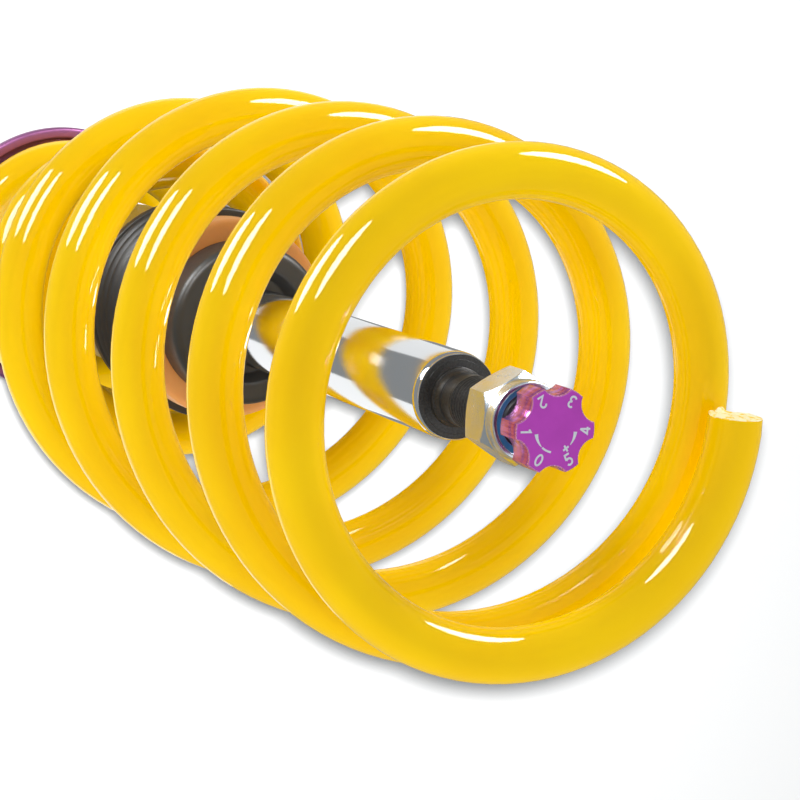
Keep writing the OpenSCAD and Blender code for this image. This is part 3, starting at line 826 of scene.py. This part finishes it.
def make_locknut():
    """The hexagon nut with its round collar, and the nylon insert in the collar."""
    low, high = NUT[0].z / MM, NUT[1].z / MM
    flats, phase, sides = 18, math.radians(87.8), 288
    bore, lip, recess, collar_base = 6, 7.5, 0.9, 4.5
    reach = flats / 2 / math.cos(math.pi / 6)

    def hexagon(a):
        """The hexagon's radius at an angle."""
        return flats / 2 / math.cos((a - phase + TAU) % (TAU / 6) - TAU / 12)

    side = fillet([
        (bore, low), (8.6, low, 0.3), (reach + 0.1, low + 1.1), (reach + 0.1, high - collar_base, 0.4),
        (8.75, high - 2.9, 0.5), (8.55, high - 1.2, 0.3), (8.7, high - 0.9, 0.2), (8.55, high, 0.45),
        (lip, high, 0.25), (lip, high - recess), (bore, high - recess),
    ], 8)
    fine = 0.18  # the outline's longest step where it runs over the hexagon, so that the bevels' edges show
    dense = []
    for p, q in zip(side, side[1:]):
        steps = max(1, int((q - p).length / fine)) if max(p.x, q.x) > flats / 2 - 0.3 else 1
        dense += [p.lerp(q, k / steps) for k in range(steps)]
    dense.append(side[-1])
    angles = [TAU * k / sides for k in range(sides)]
    rings = []
    for r, z in dense:
        radii = [min(r, hexagon(a)) for a in angles]
        rings.append([Vector((c * math.cos(a), c * math.sin(a), z)) * MM for a, c in zip(angles, radii)])
    mesh = skin("locknut", rings, closed=True, sharp_degrees=25)
    new_piece("locknut_shape", mesh, "rod", ZINC, ["locknut"])
    outline = fillet([(5.9, high - 3.8), (7.9, high - 3.8), (7.9, high - 0.95), (7.45, high - 0.9),
                      (7.4, high - 0.55, 0.2), (6.1, high - 0.7, 0.3)], 5)
    make_turned("nylon_insert", outline, "rod", NYLON, 96)


def make_ring_nut(name, radius):
    """A ring nut with spanner slots around its edge."""
    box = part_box(name)
    low, high, bore = box[0].z / MM, box[1].z / MM, radius_of(TUBE) / MM + 0.1
    slots, slot_w, slot_d, bevel, hollow = 8, 7, 3, 0.9, 0.02
    slot_steps, rim_steps = 4, 12
    half = math.asin(slot_w / 2 / radius)
    span = TAU / slots - 2 * half
    loop = []
    for i in range(slots):
        middle = TAU * i / slots
        for k in range(slot_steps + 1):
            y = slot_w * (k / slot_steps - 0.5)
            loop.append(turn_about(Vector((radius - slot_d - hollow * y * y, y)), middle))
        for k in range(rim_steps + 1):
            loop.append(turn_about(Vector((radius, 0)), middle + half + span * k / rim_steps))
    bore_loop = [p.normalized() * bore for p in loop]
    rows = [(bore_loop, low), (inset(loop, bevel), low), (loop, low + bevel), (loop, high - bevel),
            (inset(loop, bevel), high), (bore_loop, high)]
    rings = [[Vector((p.x, p.y, z)) * MM for p in row] for row, z in rows]
    mesh = skin(name, rings, closed=True, sharp_degrees=30)
    new_piece(name + "_shape", mesh, "collar", PERCH_PURPLE, [name])


def soften_cad_edges():
    """Rounds the sharp edges of the pressed and cast pieces that keep their CAD mesh."""
    widths = {
        "knuckle_bracket": 0.5, "hose_bracket": 0.3, "closing_nut": 0.2, "base_cap": 0.5,
        "wiper_ring": 0.15, "knob_screw": 0.08, "collar_screw": 0.15,
    }
    for name, width in widths.items():
        modifiers = frame["nodes"][name].modifiers
        modifiers.new("weld", "WELD").merge_threshold = 0.00001
        merge = modifiers.new("flat_faces", "DECIMATE")
        merge.decimate_type = "DISSOLVE"
        merge.angle_limit = math.radians(0.5)
        bevel = modifiers.new("rounded_edges", "BEVEL")
        bevel.width = width * MM
        bevel.segments = 2
        bevel.limit_method = "ANGLE"
        bevel.angle_limit = math.radians(40)
        modifiers.new("even_shading", "WEIGHTED_NORMAL").weight = 100


# ---------------------------------------------------------------- camera, light and floor

def aim(obj, eye, target, up):
    """Puts obj at eye, looking at target, with up at the top of its view."""
    back = (Vector(eye) - Vector(target)).normalized()
    right = Vector(up).cross(back).normalized()
    facing = Matrix((right, back.cross(right), back)).transposed()
    obj.matrix_world = Matrix.Translation(eye) @ facing.to_4x4()


def make_camera():
    """The camera stands above the knob and looks down the strut."""
    data = bpy.data.cameras.new("camera")
    data.lens = 134.8
    data.sensor_width = 36
    camera = bpy.data.objects.new("camera", data)
    bpy.context.scene.collection.objects.link(camera)
    eye, target, up = (-0.29684, 0.09469, 0.58279), (0.00562, -0.00712, -0.04023), (0.0119, 0.9877, -0.1556)
    aim(camera, eye, target, up)
    bpy.context.scene.camera = camera


def make_floor():
    """A wide sheet of pale paper just below the strut."""
    finish = Finish("floor_paper", (0.9, 0.9, 0.9), 0.9, Specular_IOR_Level=0.0)
    finish.link(finish.mix(finish.noise(3, 2), (0.88, 0.88, 0.88), (0.92, 0.92, 0.92)), "Base Color")
    size, z = 6, CAD_BOX[0].z - 0.001
    corners = [(-size, -size, z), (size, -size, z), (size, size, z), (-size, size, z)]
    mesh = bpy.data.meshes.new("floor")
    mesh.from_pydata(corners, [], [(0, 1, 2, 3)])
    mesh.materials.append(finish.material)
    floor = bpy.data.objects.new("floor", mesh)
    bpy.context.scene.collection.objects.link(floor)
    floor.visible_glossy = False  # the polished pieces show the dim studio, not the bright paper
    return floor


def area_light(name, place, target, width, height, radiance, shape="RECTANGLE"):
    """An area light of an even radiance at a place, facing a target."""
    data = bpy.data.lights.new(name, "AREA")
    data.shape = shape
    data.size, data.size_y = width, height
    area = width * height * (math.pi / 4 if shape == "ELLIPSE" else 1)
    data.energy = radiance * math.pi * area
    light = bpy.data.objects.new(name, data)
    light.visible_camera = False
    bpy.context.scene.collection.objects.link(light)
    aim(light, place, target, (0.1, 0.2, 1))
    return light


def lit_collection(name, objects, state):
    """A light-linking collection that takes in only the objects, or everything but the objects."""
    group = bpy.data.collections.new(name)
    for i, obj in enumerate(objects):
        group.objects.link(obj)
        group.collection_objects[i].light_linking.link_state = state
    return group


def floor_light(floor, radiance):
    """A small disc just above the camera that lights the floor only, so shadows stay close to the coils."""
    camera = bpy.context.scene.camera.matrix_world
    right, up, back = (camera.col[i].to_3d() for i in range(3))
    beside, above, width = 0.002, 0.004, 0.012
    place = camera.translation + right * beside + up * above
    reach = place.z - floor.bound_box[0][2]
    data = bpy.data.lights.new("floor_light", "AREA")
    data.shape, data.size = "DISK", width
    data.energy = radiance * (math.pi * reach) ** 2
    light = bpy.data.objects.new("floor_light", data)
    light.visible_camera = light.visible_glossy = False
    light.light_linking.receiver_collection = lit_collection("floor_only", [floor], "INCLUDE")
    bpy.context.scene.collection.objects.link(light)
    aim(light, place, place - back, up)


def make_light(floor, spring, tube):
    """A dim studio: softboxes, fills that show in no reflection, an overhead panel and white cards."""
    world = bpy.data.worlds.new("studio")
    world.use_nodes = True
    background = world.node_tree.nodes["Background"]
    background.inputs["Color"].default_value = (0.92, 0.97, 1, 1)
    background.inputs["Strength"].default_value = 0.3
    bpy.context.scene.world = world
    bpy.context.scene.view_settings.view_transform = "Standard"
    centre = Vector((0, 0, -0.1))
    strut_only = lit_collection("all_but_floor", [floor], "EXCLUDE")
    # softboxes: place, width, height, radiance for reflections, radiance for diffuse light
    boxes = [
        ((-0.42, 0.36, -0.28), 0.28, 0.28, 20, 5),
        ((-0.5, 0.61, 0.36), 0.44, 0.3, 26, 7.5),
        ((0.52, 0.58, 0.17), 0.44, 0.3, 26, 9.3),
    ]
    for i, (place, width, height, glossy, diffuse) in enumerate(boxes):
        for kind, radiance in (("glossy", glossy), ("diffuse", diffuse)):
            light = area_light(f"softbox_{i}_{kind}", place, centre, width, height, radiance, "ELLIPSE")
            light.visible_diffuse, light.visible_glossy = kind == "diffuse", kind == "glossy"
            light.light_linking.receiver_collection = strut_only
    # fills: direction from the strut, radiance
    fills = [
        ((-0.098, -0.959, 0.334), 1.8), ((0.537, -0.622, 0.587), 1.8), ((-0.726, -0.702, -0.013), 1.5),
        ((-0.988, -0.028, -0.251), 1.4), ((-0.432, 0.145, 0.89), 1.1), ((0.721, 0.569, -0.192), 3.4),
    ]
    fill_distance, fill_size = 1.3, 1
    for i, (direction, radiance) in enumerate(fills):
        place = centre + Vector(direction) * fill_distance
        light = area_light(f"fill_{i}", place, centre, fill_size, fill_size, radiance)
        light.visible_glossy = False
        light.light_linking.receiver_collection = strut_only
    overhead = area_light("overhead", (0.43, -0.145, 0.89), centre, 1, 1, 0.8)
    overhead.visible_diffuse = False
    overhead.light_linking.receiver_collection = lit_collection("metal_only", [floor, spring], "EXCLUDE")
    # white cards low beside the strut, which give the rod, the nut and the knob's side their bright bands
    card_z, card_w, card_h = -0.425, 0.3, 0.26
    cards = [(0.07, 0.19, 0.66), (-0.07, -0.19, 0.85)]  # x, y, radiance
    for i, (x, y, radiance) in enumerate(cards):
        card = area_light(f"card_{i}", (x, y, card_z), (x, y, 0), card_w, card_h, radiance)
        card.visible_diffuse = False
        card.light_linking.receiver_collection = lit_collection(f"card_{i}_on", [floor, tube], "EXCLUDE")
    floor_light(floor, 1.5)


# ---------------------------------------------------------------- build

dress_cad_nodes()
make_camera()
make_light(make_floor(), make_spring(), make_tube())
make_rod()
make_locknut()
make_knob()
make_bump_stop()
make_boot_ring()
make_boot()
make_perch()
make_ring_nut("adjuster_collar", 33)
make_ring_nut("lock_ring", 32)
soften_cad_edges()
